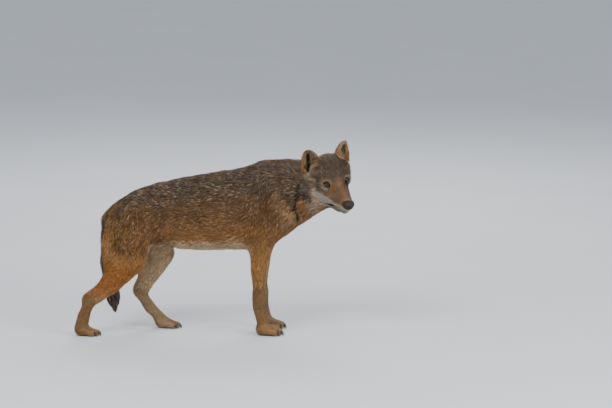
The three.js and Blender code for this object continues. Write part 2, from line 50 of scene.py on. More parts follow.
MIDDLE = Vector((-0.006, 0.047, 0.0))
HEAD = (
    Matrix.Translation(MIDDLE + Vector((0.496, -0.135, 0.633)))
    @ Matrix.Rotation(math.radians(-63), 4, "Z")
    @ Matrix.Rotation(math.radians(21), 4, "Y")
    @ Matrix.Rotation(math.radians(7), 4, "X")
)
BODY = Matrix.Translation(MIDDLE)
SIDES = {"right": -1, "left": 1}


def seen_from(place, points):
    """Points of the world, as an array, in the head's or the body's own axes."""
    turn = np.array(place.to_3x3())
    return (points - np.array(place.translation)) @ turn


# ---------------------------------------------------------------- camera
# Well back from the animal and square to its right side, looking a little down on it through
# a long lens. The animal stands left of the middle of the picture.

AIM = MIDDLE + Vector((0.376, 0.0, 0.520))
DISTANCE = 16.0
ELEVATION = math.radians(10)
LENS, FILM = 235.3, 36.0  # millimetres


def placed(name, data):
    """An object at the origin, in the scene."""
    made = bpy.data.objects.new(name, data)
    bpy.context.scene.collection.objects.link(made)
    return made


camera = placed("camera", bpy.data.cameras.new("camera"))
camera.data.lens, camera.data.sensor_width = LENS, FILM
camera.location = AIM + DISTANCE * Vector((0, -math.cos(ELEVATION), math.sin(ELEVATION)))
camera.rotation_euler = (math.pi / 2 - ELEVATION, 0, 0)
bpy.context.scene.camera = camera

# ---------------------------------------------------------------- the lie of the coat
# Hair lies along strokes drawn over the body, from where it rises to where it points. Each
# stroke gives the coat's depth at its two ends and the length of its hair there.


class Lie:
    """Strokes with the coat's depth and length, read at any point of the hide."""

    NEAR = 0.012  # strokes this close to a point share it evenly
    BLOCK = 20000  # points read at a time

    def __init__(self):
        self.starts, self.ends, self.values = [], [], []

    def strokes(self, rows, place=BODY, both=False):
        """Strokes in millimetres: start, end, depth at the two ends and length there."""
        for start, end, depth, length in rows:
            for side in (1, -1) if both else (1,):
                for ends, (x, y, z) in ((self.starts, start), (self.ends, end)):
                    ends.append(place @ Vector((x / 1000, side * y / 1000, z / 1000)))
                self.values.append([value / 1000 for value in (*depth, *length)])

    def read(self, points):
        """The way the hair lies at points, how deep the coat is there and how long its hair."""
        starts, ends = np.array(self.starts), np.array(self.ends)
        run = ends - starts
        span = (run**2).sum(1)
        towards = run / np.sqrt(span)[:, None]
        values = np.array(self.values)
        flow, depth, length = [], [], []
        for first in range(0, len(points), self.BLOCK):
            p = points[first : first + self.BLOCK]
            t = np.clip((p @ run.T - (starts * run).sum(1)) / span, 0, 1)
            off = p[:, None] - starts[None] - t[..., None] * run[None]
            weight = 1 / ((off**2).sum(2) + self.NEAR**2) ** 2
            weight /= weight.sum(1, keepdims=True)
            flow.append(weight @ towards)
            depth.append((weight * (values[:, 0] + t * (values[:, 1] - values[:, 0]))).sum(1))
            length.append((weight * (values[:, 2] + t * (values[:, 3] - values[:, 2]))).sum(1))
        return np.concatenate(flow), np.concatenate(depth), np.concatenate(length)


lie = Lie()
# Trunk: along the back and flanks to the rear, and slanting down over shoulder and thigh.
lie.strokes([
    ((260, 20, 680), (-50, 30, 640), (20, 16), (46, 38)),
    ((-50, 30, 640), (-320, 30, 580), (16, 14), (38, 35)),
    ((140, 100, 600), (-250, 85, 530), (15, 14), (37, 35)),
    ((100, 110, 500), (-220, 90, 450), (14, 12), (34, 32)),
    ((120, 90, 400), (-180, 80, 385), (13, 12), (34, 34)),
    ((140, 30, 350), (-220, 30, 360), (12, 11), (32, 34)),
    ((-180, 85, 460), (-250, 80, 340), (12, 9), (34, 27)),
    ((-310, 40, 575), (-420, 20, 470), (14, 14), (35, 37)),
    ((220, 90, 600), (170, 105, 460), (15, 11), (37, 30)),
    ((270, 75, 520), (200, 100, 370), (15, 9), (37, 26)),
], both=True)
lie.strokes([
    ((300, 0, 460), (240, 0, 355), (15, 12), (37, 32)),
    # Thighs and buttocks.
    ((-290, -115, 500), (-320, -125, 330), (12, 9), (32, 27)),
    ((-260, 115, 500), (-230, 130, 330), (12, 9), (32, 27)),
    ((-400, -50, 450), (-415, -60, 270), (13, 9), (37, 30)),
    ((-400, 50, 450), (-370, 60, 300), (13, 9), (37, 30)),
    # Neck: back from the head over the cape, and down the throat to the chest.
    ((440, -70, 700), (250, 0, 690), (22, 22), (46, 50)),
    ((410, -150, 645), (270, -100, 575), (22, 19), (46, 46)),
    ((470, 10, 650), (270, 90, 600), (22, 19), (46, 46)),
    ((430, -130, 565), (330, -30, 470), (22, 19), (48, 43)),
    ((380, -140, 575), (290, -90, 470), (20, 15), (46, 40)),
    ((460, -40, 570), (330, 60, 480), (20, 17), (46, 42)),
])
# Forelegs, then the right hind leg set back and the left one set forward, and the tail.
for y, x in ((-69, 0), (69, 10)):
    lie.strokes([
        ((195 + x, y, 350), (187 + x, y, 150), (9, 4.5), (26, 15)),
        ((187 + x, y, 140), (198 + x, y, 60), (4, 3.5), (14, 12)),
        ((200 + x, y, 45), (260 + x, y, 12), (3.5, 2.5), (12, 9)),
    ])
lie.strokes([
    ((-320, -75, 300), (-475, -78, 160), (11, 5), (32, 18)),
    ((-390, -70, 260), (-490, -78, 170), (12, 5), (34, 18)),
    ((-487, -78, 140), (-520, -78, 55), (4.5, 3.5), (15, 12)),
    ((-520, -78, 45), (-470, -78, 12), (3.5, 2.5), (12, 9)),
    ((-210, 75, 300), (-285, 76, 160), (11, 5), (32, 18)),
    ((-290, 76, 140), (-222, 76, 55), (4.5, 3.5), (15, 12)),
    ((-210, 76, 45), (-150, 76, 12), (3.5, 2.5), (12, 9)),
    ((-390, 0, 480), (-413, 0, 400), (17, 20), (48, 55)),
    ((-413, 0, 400), (-405, 0, 200), (21, 20), (55, 55)),
    ((-405, 0, 200), (-392, 0, 95), (20, 10), (55, 45)),
])
# Face: from the nose back over the bridge, cheeks and brow to the ruff and the ears.
lie.strokes([
    ((100, 20, -45), (20, 45, -40), (1.8, 3), (6, 10)),
    ((90, 10, -85), (-20, 20, -100), (2, 5), (8, 18)),
    ((0, 12, 25), (-70, 15, 75), (3, 6), (10, 16)),
    ((0, 30, 20), (-50, 45, 60), (3, 6), (9, 16)),
    ((-80, 15, 80), (-140, 15, 70), (8, 18), (20, 40)),
    ((15, 50, -35), (-50, 78, -35), (4, 12), (11, 26)),
    ((-10, 55, 5), (-60, 75, 20), (3, 7), (10, 18)),
    ((-50, 80, -40), (-120, 100, -80), (13, 20), (30, 44)),
    ((-20, 50, -90), (-90, 70, -120), (6, 20), (18, 44)),
], HEAD, both=True)
lie.strokes([
    ((100, 0, -20), (10, 0, 0), (1.5, 2), (5, 8)),
    ((-30, 0, -105), (-100, 0, -130), (6, 20), (18, 46)),
    ((-74, -68, 30), (-84, -102, 112), (2.2, 1.8), (14, 8)),
    ((-74, 60, 40), (-84, 86, 122), (2.2, 1.8), (14, 8)),
], HEAD)

# ---------------------------------------------------------------- the hide
# One skin without a seam. The parted flesh is closed up, its facets are smoothed away, and it
# is drawn in by the depth of the coat that grows on it. The tail is drawn in on its own, so
# that it hangs free of the thighs, and is then joined on.

NET = 0.0055  # the width of the hide's mesh
CLOSING = 0.0012  # flesh pieces swell by this, which closes the cuts between them
LEGS = [
    f"{part}_{side}"
    for side in SIDES
    for part in ("thigh", "shank", "hock", "hindpaw", "forearm", "pastern", "forepaw")
]
TRUNK = ["hindquarters", "barrel", "chest", "neck", "tail_root"]
FACE = ["head", "lower_jaw", "ear_right", "ear_left"]
TAIL = ["tail_root", "tail_brush", "tail_tip"]


def mesh_of(name, bm):
    mesh = bpy.data.meshes.new(name)
    bm.to_mesh(mesh)
    return mesh


def discard(piece):
    """Takes an object and its mesh out of the file."""
    mesh = piece.data
    bpy.data.objects.remove(piece)
    bpy.data.meshes.remove(mesh)


def flesh_of(names):
    """Copies of the CAD nodes in one bmesh, each merged and swollen a little."""
    joined = bmesh.new()
    for name in names:
        piece = bmesh.new()
        piece.from_mesh(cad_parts[name].data)
        bmesh.ops.remove_doubles(piece, verts=piece.verts, dist=1e-5)
        piece.normal_update()
        for v in piece.verts:
            v.co += v.normal * CLOSING
        held = mesh_of("held", piece)
        joined.from_mesh(held)
        bpy.data.meshes.remove(held)
        piece.free()
    return joined


def changed(bm, kind, **settings):
    """The bmesh after one modifier, which is freed of everything but its largest body."""
    draft = placed("draft", mesh_of("draft", bm))
    modifier = draft.modifiers.new("change", kind)
    for setting, value in settings.items():
        setattr(modifier, setting, value)
    bm.clear()
    shown = draft.evaluated_get(bpy.context.evaluated_depsgraph_get())
    bm.from_mesh(shown.to_mesh())
    shown.to_mesh_clear()
    discard(draft)
    keep_largest(bm)
    return bm


def keep_largest(bm):
    """Deletes every loose body of a bmesh but the one with the most corners."""
    bm.verts.ensure_lookup_table()
    body = {}
    for seed in bm.verts:
        if seed in body:
            continue
        front = [seed]
        body[seed] = seed
        while front:
            v = front.pop()
            for e in v.link_edges:
                other = e.other_vert(v)
                if other not in body:
                    body[other] = seed
                    front.append(other)
    sizes = {}
    for seed in body.values():
        sizes[seed] = sizes.get(seed, 0) + 1
    largest = max(sizes, key=sizes.get)
    bmesh.ops.delete(bm, geom=[v for v, s in body.items() if s is not largest], context="VERTS")


def corners(bm):
    """The places of a bmesh's corners, as an array."""
    return np.array([v.co for v in bm.verts])


def facings(bm):
    """The way a bmesh faces at each corner."""
    bm.normal_update()
    return np.array([v.normal for v in bm.verts])


def put(bm, points):
    """Moves a bmesh's corners to points."""
    for v, p in zip(bm.verts, points):
        v.co = p


def evened(bm, field, rounds):
    """A value of each corner, averaged over its neighbours again and again."""
    ends = np.array([(e.verts[0].index, e.verts[1].index) for e in bm.edges])
    count = np.bincount(ends.ravel(), minlength=len(field))
    for _ in range(rounds):
        total = np.bincount(ends[:, 0], field[ends[:, 1]], len(field))
        total += np.bincount(ends[:, 1], field[ends[:, 0]], len(field))
        field = 0.5 * field + 0.5 * total / np.maximum(count, 1)
    return field


def smoothed(bm, rounds, chosen):
    """Smooths the chosen corners of a bmesh, round after round."""
    chosen = [v for v, use in zip(bm.verts, chosen) if use]
    for _ in range(rounds):
        bmesh.ops.smooth_vert(
            bm, verts=chosen, factor=0.5, use_axis_x=True, use_axis_y=True, use_axis_z=True
        )


SHALLOWEST = 0.002  # the coat's least depth


def drawn_in(bm, most=0.34):
    """Moves the skin in by the coat's depth, but never past a share of a thin place."""
    bm.verts.index_update()
    points, out = corners(bm), facings(bm)
    depth = lie.read(points)[1] + CLOSING
    limit = np.full(len(points), np.inf)
    tree, just_inside = BVHTree.FromBMesh(bm), 2e-4
    for i, (p, n) in enumerate(zip(points, out)):
        hit = tree.ray_cast(Vector(p - n * just_inside), Vector(-n), 2 * depth[i] / most)
        if hit[0] is not None:
            limit[i] = most * hit[3]
    depth = evened(bm, np.minimum(depth, limit), 6)
    put(bm, points - out * np.minimum(np.maximum(depth, SHALLOWEST), limit)[:, None])


def head_zone(points):
    """The head and ears, without the trunk."""
    h = seen_from(HEAD, points)
    return (h[:, 0] > -0.125) & ((h**2).sum(1) < 0.21**2)


FOOT_TOP = 0.07  # below this the feet keep their shape, as the head and ears do

hide = changed(flesh_of(TRUNK + LEGS + FACE), "REMESH", mode="VOXEL", voxel_size=NET)
low = corners(hide)[:, 2] < FOOT_TOP
at_head = head_zone(corners(hide))
smoothed(hide, 14, ~low & ~at_head)
smoothed(hide, 3, low | at_head)
OUTLINE = BVHTree.FromBMesh(hide)
drawn_in(hide)
smoothed(hide, 4, ~low & ~at_head)

tail = changed(flesh_of(TAIL), "REMESH", mode="VOXEL", voxel_size=NET)
smoothed(tail, 6, np.ones(len(tail.verts), bool))
TAIL_OUTLINE = BVHTree.FromBMesh(tail)
drawn_in(tail, most=0.38)
tail_core = placed("tail", mesh_of("tail", tail))
hide = changed(hide, "BOOLEAN", operation="UNION", object=tail_core, solver="MANIFOLD")
discard(tail_core)

# The face and paws are given a finer net. The skin stands round the eyes, the sockets sink
# behind them, the closed lips are a groove, and clefts part the toes.

NOSE_AT = Vector((0.116, 0.0, -0.040))
NOSE_RADII = Vector((0.020, 0.0225, 0.019))
EYE = {"radius": 0.0125, "forward": 0.005, "aside": 0.0435, "up": 0.0}
EYE_GAZE = (0.80, 0.58, 0.12)  # forward and outward, on the left side
OPENING = {"half_width": 0.0122, "half_height": 0.0066, "tilt": math.radians(-17)}
EYE_RIM = (0.0160, 0.0092)  # half the width and height of the bare dark skin round the opening
LID_DEPTH = 0.0012  # how far the skin of the lids stands off the ball


def eye_axes(side):
    """The eye's middle, its gaze, and its opening's long axis and its short one, which points down."""
    turn = HEAD.to_3x3()
    middle = HEAD @ Vector((EYE["forward"], side * EYE["aside"], EYE["up"]))
    gaze = (turn @ Vector((EYE_GAZE[0], side * EYE_GAZE[1], EYE_GAZE[2]))).normalized()
    up = turn @ Vector((0, 0, 1))
    up = (up - gaze * up.dot(gaze)).normalized()
    back = gaze.cross(up) * side
    along = Matrix.Rotation(OPENING["tilt"] * -side, 3, gaze) @ back
    return middle, gaze, along.normalized(), gaze.cross(along).normalized() * side


def eye_view(points, side):
    """Points from the eye's middle: how far off, ahead, along its opening and down."""
    middle, gaze, along, down = (np.array(v) for v in eye_axes(side))
    off = points - middle
    return off, off @ gaze, off @ along, off @ down


def step(x, low, high):
    """0 below low, 1 above high, smooth between."""
    t = np.clip((x - low) / (high - low), 0, 1)
    return t * t * (3 - 2 * t)


# Each paw's middle, length and width; its toes' tips are a share of these ahead and aside.
PAWS = (
    ((0.214, -0.069), 0.102, 0.082),
    ((0.224, 0.069), 0.102, 0.082),
    ((-0.512, -0.078), 0.094, 0.072),
    ((-0.194, 0.076), 0.094, 0.072),
)
TOES = ((0.55, -0.17), (0.55, 0.17), (0.38, -0.37), (0.38, 0.37))
TOE_GAPS = (-0.27, 0.0, 0.27)  # the clefts between them, as shares of the width
CLAW_OUT, CLAW_HEIGHT = 0.011, 0.0125
CLAW_TIPS = np.array([
    (x + ahead * long + CLAW_OUT, y + aside * wide, CLAW_HEIGHT)
    for (x, y), long, wide in PAWS for ahead, aside in TOES
])


def to_claws(points):
    """How far points are from the nearest claw's tip."""
    b = seen_from(BODY, points)
    return np.min([((b - tip) ** 2).sum(1) for tip in CLAW_TIPS], 0) ** 0.5


def toe_clefts(points):
    """1 in the middle of a cleft between two toes, 0 away from it."""
    b = seen_from(BODY, points)
    cleft = np.zeros(len(points))
    for (x, y), long, wide in PAWS:
        ahead, aside = (b[:, 0] - x) / long, (b[:, 1] - y) / wide
        toes = step(ahead, 0.0, 0.28) * step(np.abs(aside), 0.65, 0.5) * step(b[:, 2], 0.055, 0.035)
        across = np.min([np.abs(aside - gap * (1 + 0.2 * ahead)) for gap in TOE_GAPS], 0)
        cleft = np.maximum(cleft, toes * step(across, 0.085, 0.0))
    return cleft


LIPS = {"level": -0.0715, "slope": -0.07, "from": 0.09, "corner": 0.026}


def lip_line(h):
    """How near a point of the head, in the head's axes, is to the closed lips."""
    level = LIPS["level"] + LIPS["slope"] * (h[:, 0] - LIPS["from"])
    past = np.maximum(LIPS["corner"] - h[:, 0], 0)
    return np.hypot(h[:, 2] - level, past)


SOCKET = {"reach": 0.024, "depth": 0.7}  # the lids' reach, and the socket's depth as a share of the ball
LIP_GROOVE, TOE_CLEFT = 0.004, 0.005  # their depths

middles = np.array([(e.verts[0].co + e.verts[1].co) / 2 for e in hide.edges])
at_paws = (middles[:, 2] < 0.04) & (middles[:, 2] > 0.004)
finer = head_zone(middles) | at_paws
edges = [e for e, use in zip(hide.edges, finer) if use]
bmesh.ops.subdivide_edges(hide, edges=edges, cuts=1, use_grid_fill=True)
at_head = head_zone(corners(hide))
smoothed(hide, 2, at_head)
points, out = corners(hide), facings(hide)
for side in SIDES.values():
    off, ahead, wide, down = eye_view(points, side)
    middle = np.array(eye_axes(side)[0])
    reach = np.maximum(np.sqrt((off**2).sum(1)), 1e-6)
    facing = ahead / reach
    opening = np.abs(wide / OPENING["half_width"]) ** 1.7 + np.abs(down / OPENING["half_height"]) ** 2
    near = (reach < SOCKET["reach"]) & (facing > 0.1)
    inside = near & (opening < 1)
    shell = EYE["radius"] + LID_DEPTH
    hold = np.where(near, step(opening, 7.0, 1.2), 0)
    to_shell = middle + off / reach[:, None] * shell
    points = points + (to_shell - points) * hold[:, None]
    sunk = middle + off / reach[:, None] * EYE["radius"] * SOCKET["depth"]
    points[inside] = sunk[inside]
h = seen_from(HEAD, points)
groove = step(lip_line(h), 0.0045, 0.0008) * at_head * (h[:, 0] > 0) * (h[:, 0] < 0.115)
points -= out * (LIP_GROOVE * groove + TOE_CLEFT * toe_clefts(points))[:, None]
put(hide, points)

# Markings, with some painted shade in creases and hollows. Each pelt is a lock's colour at its root,
# middle and tip, from 0 to 255. A zone is a blend of pelts, and zones are laid over one another like
# washes, the later over the earlier.

PELTS = {
    "flank": ((64, 48, 34), (122, 86, 50), (100, 71, 44)),
    "saddle": ((58, 50, 44), (118, 104, 91), (64, 56, 50)),
    "guard": ((52, 44, 38), (78, 67, 58), (28, 25, 23)),
    "banded": ((54, 45, 37), (168, 144, 114), (44, 37, 31)),
    "pale": ((112, 94, 76), (182, 160, 132), (156, 134, 106)),
    "tawny": ((106, 74, 42), (172, 122, 68), (158, 110, 60)),
    "sand": ((134, 100, 66), (202, 156, 106), (188, 144, 96)),
    "rust": ((106, 62, 26), (172, 104, 44), (158, 94, 40)),
    "cream": ((146, 124, 94), (214, 190, 154), (202, 178, 142)),
    "cape": ((56, 49, 42), (104, 90, 76), (68, 59, 50)),
    "white": ((144, 134, 120), (210, 202, 188), (196, 187, 172)),
    "black": ((24, 22, 20), (36, 32, 29), (27, 24, 22)),
    "smoke": ((60, 54, 49), (114, 104, 96), (84, 76, 70)),
    "cinnamon": ((112, 84, 58), (176, 134, 98), (160, 120, 86)),
}
ZONES = {
    "flank": {"flank": 0.72, "saddle": 0.12, "guard": 0.06, "pale": 0.10},
    "back": {"saddle": 0.46, "guard": 0.28, "banded": 0.16, "flank": 0.10},
    "low_flank": {"flank": 0.45, "tawny": 0.45, "pale": 0.10},
    "belly": {"cream": 0.85, "pale": 0.15},
    "thigh": {"flank": 0.44, "tawny": 0.34, "guard": 0.08, "saddle": 0.04, "banded": 0.06, "pale": 0.04},
    "buttock": {"tawny": 0.5, "sand": 0.3, "flank": 0.2},
    "leg": {"tawny": 0.68, "sand": 0.32},
    "low_leg": {"sand": 0.90, "cream": 0.10},
    "inner_leg": {"cream": 0.55, "pale": 0.2, "sand": 0.25},
    "rusty": {"rust": 0.75, "tawny": 0.25},
    "stripe_and_shade": {"guard": 0.7, "saddle": 0.3},
    "cape": {"cape": 0.46, "saddle": 0.2, "guard": 0.08, "flank": 0.12, "banded": 0.14},
    "chest": {"flank": 0.25, "tawny": 0.4, "pale": 0.3, "cape": 0.05},
    "tail": {"saddle": 0.3, "flank": 0.25, "guard": 0.35, "banded": 0.1},
    "tail_tip": {"black": 0.14, "guard": 0.28, "smoke": 0.48, "banded": 0.10},
    "mask": {"smoke": 0.62, "guard": 0.16, "pale": 0.12, "cinnamon": 0.10},
    "bridge": {"cinnamon": 0.85, "smoke": 0.15},
    "muzzle": {"cinnamon": 0.5, "smoke": 0.38, "pale": 0.12},
    "brow": {"pale": 0.5, "sand": 0.5},
    "lip": {"white": 0.8, "pale": 0.2},
    "cheek": {"pale": 0.5, "smoke": 0.3, "cinnamon": 0.2},
    "ruff": {"cape": 0.35, "smoke": 0.42, "guard": 0.08, "banded": 0.15},
    "throat": {"tawny": 0.5, "flank": 0.38, "pale": 0.12},
    "ear_back": {"rust": 0.35, "tawny": 0.5, "sand": 0.15},
    "ear_rim": {"sand": 0.7, "tawny": 0.3},
    "ear_inside": {"cream": 0.4, "pale": 0.2, "sand": 0.25, "smoke": 0.15},
    "ear_hollow_shade": {"black": 0.95, "smoke": 0.05},
    "dark": {"black": 1.0},
}


def linear(rgb):
    c = np.array(rgb) / 255
    return np.where(c < 0.04045, c / 12.92, ((c + 0.055) / 1.055) ** 2.4)


PELT_COLOURS = np.array([[linear(c) for c in pelt] for pelt in PELTS.values()])
ZONE_BLEND = np.array([[blend.get(p, 0) for p in PELTS] for blend in ZONES.values()])


def ripple(points, width, seed, waves=5):
    """A smooth wandering value from -1 to 1, with features of about that width."""
    rng = np.random.default_rng(seed)
    total = np.zeros(len(points))
    for _ in range(waves):
        way = rng.normal(size=3)
        way *= 2 * math.pi / (width * rng.uniform(1.4, 2.8)) / np.linalg.norm(way)
        total += np.sin(points @ way + rng.uniform(0, 2 * math.pi))
    return total / (0.6 * waves)


def hypot3(a, b, c):
    return np.sqrt(a * a + b * b + c * c)


EARS = {
    "right": {"foot": (-0.074, -0.068, 0.020), "half": 0.043, "turn": -0.5, "lean": 0.36},
    "left": {"foot": (-0.074, 0.060, 0.029), "half": 0.0395, "turn": 0.3, "lean": -0.26},
}
# Each slit of painted shade deep in an ear's hollow: its place across the ear, its lower and upper ends,
# and how dark it is.
EAR_SHADE_SLITS = {"right": (0.021, -0.1, 0.72, 1.0), "left": (0.030, 0.25, 0.80, 0.65)}
EAR_LENGTH = 0.098
EAR_FLESH = {name: BVHTree.FromBMesh(flesh_of([f"ear_{name}"])) for name in EARS}


def ear_axes(name):
    """An ear's own axes in the head's: the way it opens, across it, and up to its tip."""
    ear = EARS[name]
    turn = Matrix.Rotation(ear["lean"], 3, "X") @ Matrix.Rotation(ear["turn"], 3, "Z")
    return np.array(turn).T * np.array((1, SIDES[name], 1))[:, None]


def ear_places(points, h, face_out, name):
    """Whether a point is on the ear, how far it faces into its hollow, and its place on it."""
    opens, across, upward = ear_axes(name)
    off = h - np.array(EARS[name]["foot"])
    ear = np.zeros(len(points))
    for i in np.nonzero((np.linalg.norm(off, axis=1) < 0.125) & (h[:, 2] > 0))[0]:
        ear[i] = EAR_FLESH[name].find_nearest(points[i])[3] < 0.005
    up, aside = off @ upward / EAR_LENGTH, off @ across
    ear *= np.maximum(step(aside, -0.022, -0.010), step(up, 0.25, 0.45))
    ahead = off @ opens + 0.010 * up + 0.008 * up**2
    away = np.hypot(ahead, aside)
    inside = -((face_out @ opens) * ahead + (face_out @ across) * aside) / away
    bowl = (away < 0.97 * EARS[name]["half"]) & (up > -0.08) & (up < 0.4) & (ahead < 0.012)
    bowl &= np.abs(aside) < 0.032
    return np.where(bowl, 1.0, ear), np.where(bowl, 1.0, inside), up, aside


def tail_zone(points):
    """The tail below its root."""
    b = seen_from(BODY, points)
    return (np.hypot(b[:, 0] + 0.405, b[:, 1]) < 0.055) & (b[:, 2] < 0.46)


class Washes:
    """The share of each zone at points of the hide that face `out`."""

    def __init__(self, points, out):
        self.points, self.out = points, out
        self.wander = 0.5 * ripple(points, 0.035, 3) + 0.5 * ripple(points, 0.012, 4)
        self.x, self.y, self.z = seen_from(BODY, points).T
        self.height = self.z + 0.03 * self.wander
        self.fore, self.hind = step(self.x, 0.02, 0.12), step(self.x, -0.18, -0.28)
        self.h = seen_from(HEAD, points)
        self.hx, self.hy, self.hz = self.h[:, 0], np.abs(self.h[:, 1]), self.h[:, 2]
        self.ruff_edge = -0.118 + 0.95 * np.maximum(self.hy - 0.07, 0)
        self.at_head = step(self.hx, self.ruff_edge - 0.006, self.ruff_edge + 0.008)
        self.at_head = self.at_head * (hypot3(self.hx, self.hy, self.hz) < 0.21)
        self.share = {zone: np.zeros(len(points)) for zone in ZONES}
        self.share["flank"] += 1

    def wash(self, zone, amount):
        for other in self.share:
            self.share[other] = self.share[other] * (1 - amount)
        self.share[zone] = self.share[zone] + amount

    def wash_head(self, zone, amount):
        self.wash(zone, self.at_head * amount)


def mark_trunk(w):
    """A dark back, paler flanks and legs, and a cream belly."""
    top = 0.64 + 0.17 * w.x
    rise = (w.z - 0.34) / (top - 0.34) + 0.07 * w.wander
    w.wash("low_flank", step(rise, 0.55, 0.2))
    w.wash("back", step(rise, 0.6, 0.86))
    w.wash("thigh", w.hind * step(w.height, 0.52, 0.42))
    leg = np.maximum(w.fore * step(w.height, 0.42, 0.30), w.hind * step(w.height, 0.37, 0.29))
    w.wash("leg", leg)
    behind = step(w.x + 0.01 * w.wander, -0.375, -0.405)
    w.wash("buttock", w.hind * behind * step(w.height, 0.45, 0.38))
    w.wash("low_leg", step(w.height, 0.25, 0.16))
    under = step(w.z, 0.31, 0.335) * step(np.abs(w.y), 0.105, 0.085)
    between_legs = step(w.x, -0.30, -0.22) * step(w.x, 0.2, 0.12)
    w.wash("belly", under * step(rise, 0.2, 0.02) * between_legs)


def mark_legs(w):
    """Rust on the right gaskin, cream inner sides, a faint stripe in front, and painted shade in the toe
    clefts.
    """
    right_hind = (w.y < -0.01) & (w.x < -0.28)
    w.wash("rusty", 0.75 * right_hind * step(w.z, 0.32, 0.27) * step(w.z, 0.15, 0.19))
    medial = -np.sign(w.y) * w.out[:, 1]
    w.wash("inner_leg", 0.9 * step(medial, 0.0, 0.6) * step(w.z, 0.46, 0.38))
    inner_thigh = w.hind * step(medial, 0.1, 0.6) * step(w.z, 0.26, 0.32) * step(w.z, 0.42, 0.36)
    w.wash("belly", 0.85 * inner_thigh)
    front = step(w.out[:, 0], 0.6, 0.9) * w.fore * step(w.z, 0.34, 0.28) * step(w.z, 0.07, 0.12)
    w.wash("stripe_and_shade", 0.3 * front * step(np.abs(np.abs(w.y) - 0.069), 0.012, 0.004))
    # Painted shade: the clefts between the toes are darkened where shade falls between them.
    w.wash("stripe_and_shade", 0.7 * toe_clefts(w.points))
    w.wash("dark", step(to_claws(w.points), 0.010, 0.008))


CAPE_EDGE = ((0.17, 0.20, 0.256, 0.292, 0.344), (0.67, 0.638, 0.60, 0.552, 0.50))  # x, and z there


def mark_neck_and_tail(w):
    """A dark cape over a tawny chest, and a dark-tipped tail."""
    cape_edge = np.interp(w.x, *CAPE_EDGE)
    chest = step(w.x, 0.25, 0.30) * step(w.z, cape_edge + 0.02, cape_edge - 0.02)
    w.wash("chest", chest * step(w.z, 0.40, 0.46))
    w.wash("cape", step(w.x, 0.16, 0.20) * step(w.height, cape_edge - 0.012, cape_edge + 0.02))
    tail_at = tail_zone(w.points)
    w.wash("tail", 1.0 * tail_at)
    w.wash("stripe_and_shade", tail_at * step(w.out[:, 0], -0.3, -0.8) * 0.6)
    w.wash("tail_tip", tail_at * step(w.height, 0.20, 0.165))


def mark_face(w):
    """A grey mask and ruff, a brown muzzle, white lips and cheek, painted shadow under the ruff, and
    painted shade in the crease behind.
    """
    hx, hy, hz, stray = w.hx, w.hy, w.hz, 0.004 * w.wander
    w.wash("mask", w.at_head)
    w.wash_head("ruff", step(hy, 0.075, 0.095) * step(hz + stray, 0.015, -0.005))
    w.wash_head("throat", step(hz + stray, -0.060, -0.082) * step(hx, 0.05, 0.03))
    w.wash_head("cheek", step(hx, -0.035, -0.015) * step(hy, 0.055, 0.070) * step(hz, -0.012, -0.028))
    w.wash_head("cheek", 0.45 * step(hy, 0.045, 0.070) * step(hz, -0.02, 0.0) * step(hz, 0.06, 0.03))
    # Painted shadow: a dark band across the throat just under the ruff, where the ruff's shadow falls.
    w.wash_head("stripe_and_shade", 0.85 * step(np.abs(hz + 0.070), 0.018, 0.008) * step(hx, -0.005, -0.020))
    # Painted shade: the crease between the cheek ruff and the neck is darkened nearly to black.
    crease = np.abs(hx - w.ruff_edge + 0.004)
    shaded = step(crease, 0.0100, 0.004) * step(hz, -0.02, -0.045) * step(hz, -0.21, -0.15)
    w.wash("dark", 0.95 * shaded)
    w.wash_head("muzzle", step(hx, 0.0, 0.035) * step(hz, -0.060, -0.050))
    w.wash_head("bridge", step(hx, 0.0, 0.03) * step(hy, 0.020, 0.004) * step(hz, -0.03, -0.015))
    band = np.clip((hx + 0.004) / 0.052, 0, 1)
    off_band = hypot3(hx + 0.004 - 0.052 * band, hy - 0.094 + 0.036 * band, hz + 0.034 + 0.028 * band)
    wide = 0.010 * band
    w.wash_head("lip", 0.95 * step(off_band + 2 * stray, 0.020 + wide, 0.008 + wide))
    w.wash_head("lip", step(hz + stray - 0.12 * hx, -0.055, -0.063) * step(hx, 0.01, 0.03))


def mark_eyes(w):
    """A tan brow, a rusty patch in front, a pale one below, and a dark bare rim."""
    for side in SIDES.values():
        dx, dy, dz = (w.h - np.array((EYE["forward"], side * EYE["aside"], EYE["up"]))).T
        w.wash_head("brow", 0.75 * step(hypot3(dx + 0.002, dy, (dz - 0.004) * 1.2), 0.026, 0.016))
        patch = hypot3((dx - 0.030) / 1.7, dy + side * 0.013, dz + 0.010)
        w.wash_head("rusty", 0.5 * step(patch, 0.016, 0.003))
        off, ahead, wide, down = eye_view(w.points, side)
        below = np.hypot(wide / 0.018, (down - 0.0140) / 0.0070)
        w.wash_head("lip", 0.48 * step(below, 1.1, 0.4) * (ahead > 0))
        rim = np.hypot(wide / EYE_RIM[0], down / EYE_RIM[1])
        w.wash_head("dark", step(rim, 1.12, 0.95) * (ahead > 0) * (np.abs(wide) < 0.03))


def mark_ears(w):
    """Tawny backs, sandy rims, and a pale hollow with a slit of painted shade deep in it."""
    face_out = w.out @ np.array(HEAD.to_3x3())
    for name in EARS:
        ear, inside, up, aside = ear_places(w.points, w.h, face_out, name)
        w.wash("ear_back", ear)
        w.wash("ear_rim", ear * step(inside, -0.3, 0.1))
        w.wash("ear_inside", ear * step(inside, 0.1, 0.4) * step(np.abs(aside), 0.034, 0.026))
        # Painted shade: a dark slit where the ear's hollow lies deepest.
        at, low, high, depth = EAR_SHADE_SLITS[name]
        slit = step(np.abs(aside - at + 0.024 * up), 0.0095, 0.005)
        slit = slit * step(up, high, high - 0.15) * step(up, low, low + 0.1)
        w.wash("ear_hollow_shade", depth * ear * step(inside, 0.0, 0.2) * slit)
        foot = step(up, 0.22, 0.06) * step(inside, 0.2, -0.1) * step(aside, -0.01, 0.01)
        w.wash("rusty", 0.6 * ear * foot)


